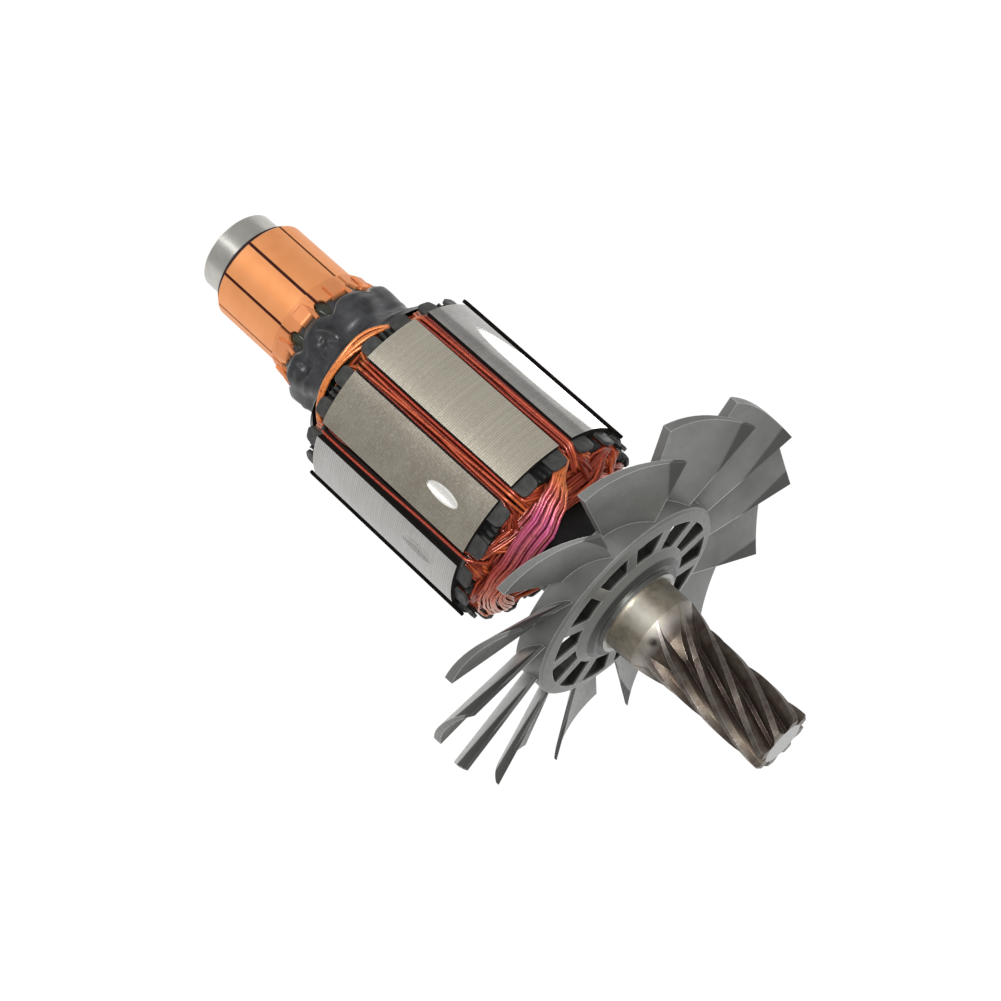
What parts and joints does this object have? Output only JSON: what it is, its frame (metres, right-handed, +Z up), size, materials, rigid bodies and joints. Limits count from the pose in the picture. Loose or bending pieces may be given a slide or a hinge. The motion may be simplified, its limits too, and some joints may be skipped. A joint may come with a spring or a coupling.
{
  "type": "wound motor armature",
  "caption": "Wound armature of a universal motor on its shaft: slotted core, hook commutator, rear ball bearing, axial cooling fan and cut helical pinion.",
  "frame": {"origin": "middle of the bounding box, on the surface that the armature lies on", "axes": "+Z up from that surface, +X along the shaft's shadow on it towards the pinion, the pinion end raised by the fan"},
  "size_m": [0.1564, 0.0918, 0.0892],
  "materials": {
    "core_steel": "dull laminated electrical steel",
    "shaft_steel": "ground, heat tinted and oiled",
    "bearing_steel": "ground",
    "enamelled_copper": "glossy enamel",
    "commutator_copper": "turned copper",
    "bush_brass": "turned",
    "bush_steel": "turned",
    "black_plastic": "moulded",
    "fibre": "pressed fibre sheet",
    "lacquer": "thick glossy lacquer",
    "fan_plastic": "moulded, satin"
  },
  "bodies": {
    "armature": {"shaft": "shaft_steel", "insulation_sleeve": "black_plastic", "core_stack": "core_steel", "front_end_insulator": "fibre", "rear_end_insulator": "fibre", "front_winding_head": "enamelled_copper", "rear_winding_head": "enamelled_copper", "commutator_moulding": "black_plastic", "commutator_bush": "bush_brass", "lacquer_band": "lacquer", "bearing_inner_ring": "bearing_steel", "cooling_fan": "fan_plastic", "fan_bush": "bush_steel", "slot_liner_1": "fibre", "slot_winding_1": "enamelled_copper", "commutator_bar_1": "commutator_copper", "slot_liner_2": "fibre", "slot_winding_2": "enamelled_copper", "commutator_bar_2": "commutator_copper", "slot_liner_3": "fibre", "slot_winding_3": "enamelled_copper", "commutator_bar_3": "commutator_copper", "slot_liner_4": "fibre", "slot_winding_4": "enamelled_copper", "commutator_bar_4": "commutator_copper", "slot_liner_5": "fibre", "slot_winding_5": "enamelled_copper", "commutator_bar_5": "commutator_copper", "slot_liner_6": "fibre", "slot_winding_6": "enamelled_copper", "commutator_bar_6": "commutator_copper", "slot_liner_7": "fibre", "slot_winding_7": "enamelled_copper", "commutator_bar_7": "commutator_copper", "slot_liner_8": "fibre", "slot_winding_8": "enamelled_copper", "commutator_bar_8": "commutator_copper", "slot_liner_9": "fibre", "slot_winding_9": "enamelled_copper", "commutator_bar_9": "commutator_copper"},
    "bearing_outer": {"bearing_outer_ring": "bearing_steel", "bearing_shield_front": "bearing_steel", "bearing_shield_rear": "bearing_steel"},
    "bearing_cage_set": {"bearing_cage": "bush_brass", "bearing_balls": "bearing_steel"}
  },
  "joints": [
    {"name": "bearing_turn", "type": "hinge", "parent": "armature", "child": "bearing_outer", "pos_m": [-0.07261, -0.00012, 0.01065], "axis": [0.9537, 0, 0.3008], "continuous": true},
    {"name": "cage_turn", "type": "hinge", "parent": "armature", "child": "bearing_cage_set", "pos_m": [-0.07261, -0.00012, 0.01065], "axis": [0.9537, 0, 0.3008], "continuous": true}
  ],
  "couplings": [
    {"joint": "cage_turn", "follows": "bearing_turn", "ratio": 0.623}
  ]
}
